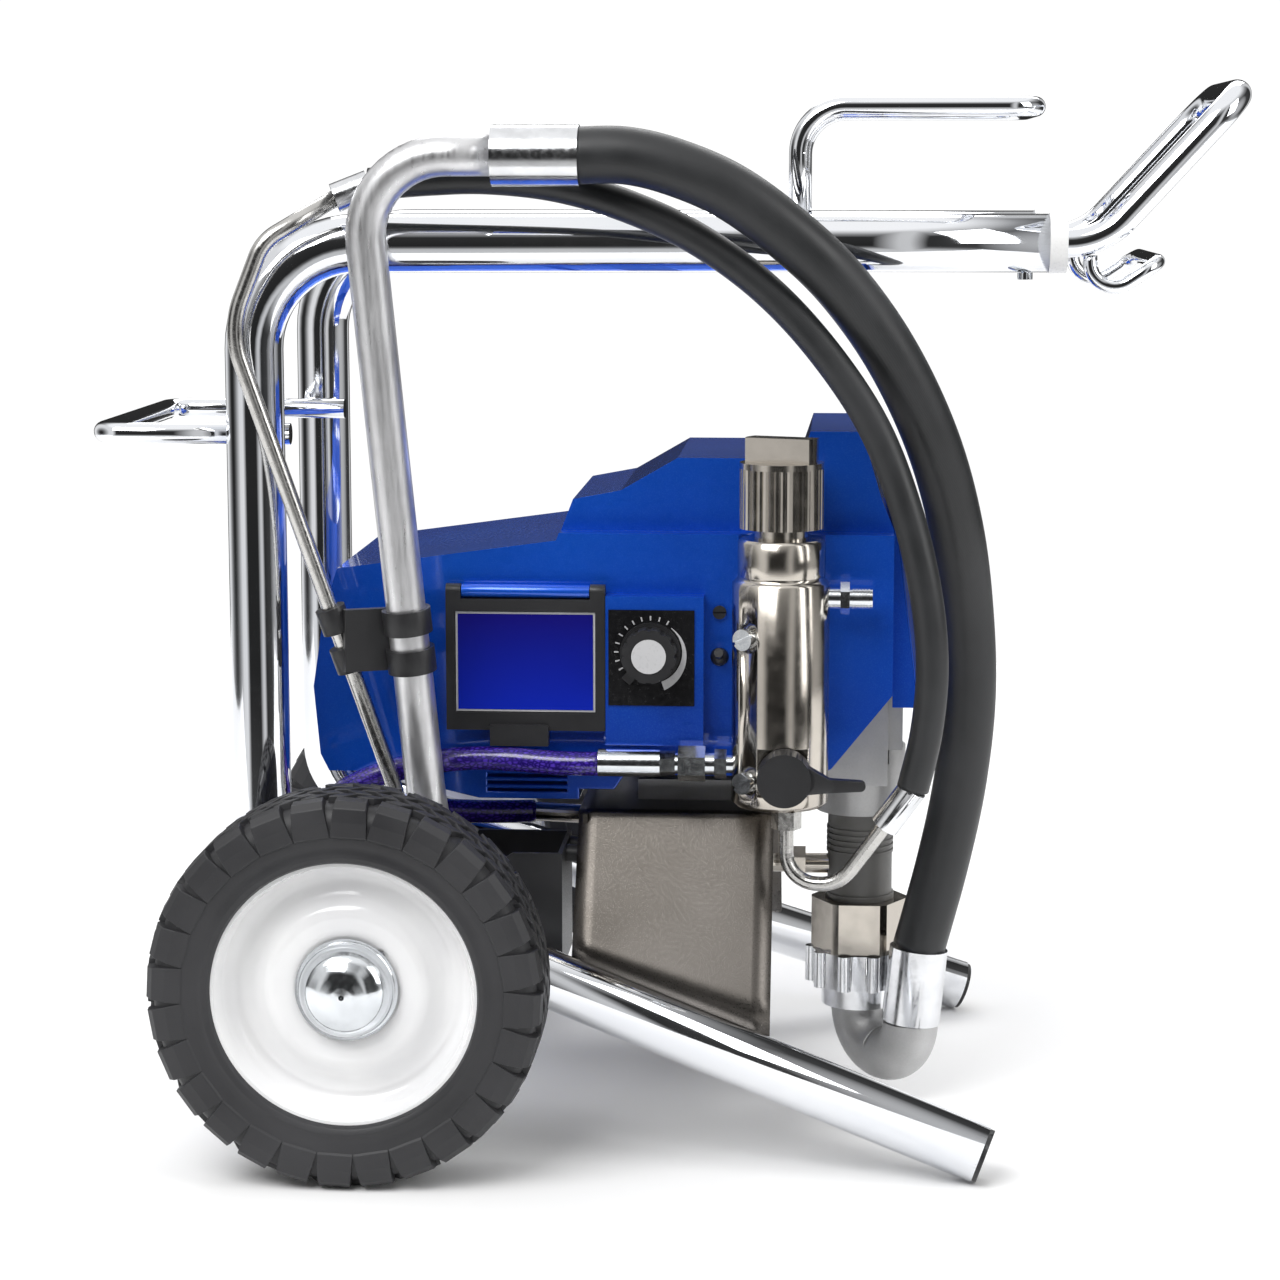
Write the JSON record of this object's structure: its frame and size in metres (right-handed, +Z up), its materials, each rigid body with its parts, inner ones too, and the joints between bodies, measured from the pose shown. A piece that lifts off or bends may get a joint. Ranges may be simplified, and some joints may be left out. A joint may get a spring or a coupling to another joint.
{
  "type": "airless paint sprayer",
  "caption": "Electric airless paint sprayer on a two-wheeled chrome tube cart, with a piston pump, upright filter housing, pick-up and drain tubes, hose racks and a telescoping handle.",
  "frame": {"origin": "centre of the footprint, on the floor", "axes": "+X from the wheels to the front feet and the grip, -Y the side with the controls, +Z up"},
  "size_m": [0.7619, 0.514, 0.6995],
  "materials": {
    "chrome": "bright chrome plate on bent tube",
    "saddle_steel": "dark bright-rolled sheet",
    "axle_steel": "zinc-plated steel",
    "black_plastic": "fine-grained black moulding",
    "white_plastic": "white nylon",
    "zinc": "bright zinc plate",
    "tyre_rubber": "black moulded rubber",
    "rim_paint": "gloss white enamel",
    "bush": "sintered bronze",
    "blue_cover": "metallic blue lacquered moulding",
    "cast_alloy": "bead-blasted casting",
    "motor_steel": "black enamel",
    "copper": "varnished windings",
    "gear_steel": "hobbed steel",
    "dial_plate": "printed plate",
    "nickel": "warm satin nickel plate",
    "screen": "filter mesh",
    "pump_steel": "grey phosphate steel",
    "polished_steel": "ground and polished",
    "alloy_tube": "drawn tube",
    "crimp": "bright crimped sleeve",
    "hose_rubber": "black fabric-wrapped rubber",
    "hose_blue": "violet-blue polyurethane jacket",
    "stainless": "satin stainless tube"
  },
  "bodies": {
    "cart": {"side_tube_near": "chrome", "side_tube_far": "chrome", "axle": "axle_steel", "rear_rack": "chrome", "hose_rack": "chrome", "saddle": "saddle_steel", "foot_plugs": "black_plastic", "collars": "white_plastic", "stop_screws": "zinc", "shroud": "blue_cover", "front_cover": "blue_cover", "motor_cover": "blue_cover", "gearbox": "cast_alloy", "gearbox_front": "cast_alloy", "motor_stator": "motor_steel", "display_panel": "blue_cover", "control_panel": "dial_plate", "cover_screws": "black_plastic", "filter_housing": "nickel", "filter_element": "screen", "outlet_fitting": "zinc", "housing_bolts": "zinc", "drain_valve": "nickel", "drain_tube_lower": "stainless", "pump_cylinder": "pump_steel", "pump_outlet": "nickel", "cylinder_nut": "nickel", "suction_nut": "crimp", "suction_elbow": "cast_alloy", "suction_ferrules": "crimp", "suction_tube": "alloy_tube", "suction_strainer": "screen", "drain_ferrules": "crimp", "drain_tube_upper": "stainless", "tube_clip": "black_plastic", "drip_cup": "black_plastic", "pressure_fittings": "zinc", "suction_hose": "hose_rubber", "drain_hose": "hose_rubber", "pressure_hose": "hose_blue"},
    "telescoping_handle": {"handle": "chrome", "pail_hook": "chrome"},
    "near_wheel": {"tyre_near": "tyre_rubber", "rim_near": "rim_paint", "bearing_near": "bush", "hub_cap_near": "zinc"},
    "far_wheel": {"tyre_far": "tyre_rubber", "rim_far": "rim_paint", "bearing_far": "bush", "hub_cap_far": "zinc"},
    "armature": {"motor_rotor": "copper"},
    "crank": {"crank_gear": "gear_steel"},
    "pump_drive": {"connecting_rod": "gear_steel", "pump_rod": "polished_steel"},
    "display_door": {"display_cover": "black_plastic"},
    "dial": {"pressure_knob": "black_plastic"},
    "toggle": {"power_switch": "black_plastic"},
    "filter_bonnet": {"filter_cap": "nickel"},
    "drain_lever": {"drain_handle": "black_plastic"}
  },
  "joints": [
    {"name": "handle_slide", "type": "slide", "parent": "cart", "child": "telescoping_handle", "axis": [1, 0, 0], "range_m": [0, 0.1]},
    {"name": "near_wheel_spin", "type": "hinge", "parent": "cart", "child": "near_wheel", "pos_m": [-0.193, -0.222, 0.127], "axis": [0, 1, 0], "continuous": true},
    {"name": "far_wheel_spin", "type": "hinge", "parent": "cart", "child": "far_wheel", "pos_m": [-0.193, 0.222, 0.127], "axis": [0, 1, 0], "continuous": true},
    {"name": "armature_spin", "type": "hinge", "parent": "cart", "child": "armature", "pos_m": [-0.062, 0, 0.32], "axis": [1, 0, 0], "continuous": true},
    {"name": "crank_spin", "type": "hinge", "parent": "cart", "child": "crank", "pos_m": [0.106, 0, 0.33], "axis": [1, 0, 0], "continuous": true},
    {"name": "pump_stroke", "type": "slide", "parent": "cart", "child": "pump_drive", "axis": [0, 0, 1], "range_m": [-0.02, 0]},
    {"name": "door_hinge", "type": "hinge", "parent": "cart", "child": "display_door", "pos_m": [-0.09, -0.103, 0.365], "axis": [1, 0, 0], "range_deg": [-110, 0]},
    {"name": "dial_turn", "type": "hinge", "parent": "cart", "child": "dial", "pos_m": [-0.008, -0.11, 0.326], "axis": [0, 1, 0], "range_deg": [-60, 210]},
    {"name": "toggle_tilt", "type": "hinge", "parent": "cart", "child": "toggle", "pos_m": [0.037, -0.095, 0.321], "axis": [1, 0, 0], "range_deg": [0, 30]},
    {"name": "bonnet_turn", "type": "hinge", "parent": "cart", "child": "filter_bonnet", "pos_m": [0.078, -0.115, 0.41], "axis": [0, 0, 1], "continuous": true},
    {"name": "drain_turn", "type": "hinge", "parent": "cart", "child": "drain_lever", "pos_m": [0.082, -0.15, 0.252], "axis": [0, 1, 0], "range_deg": [0, 90]}
  ],
  "couplings": [
    {"joint": "crank_spin", "follows": "armature_spin", "ratio": -0.1}
  ]
}
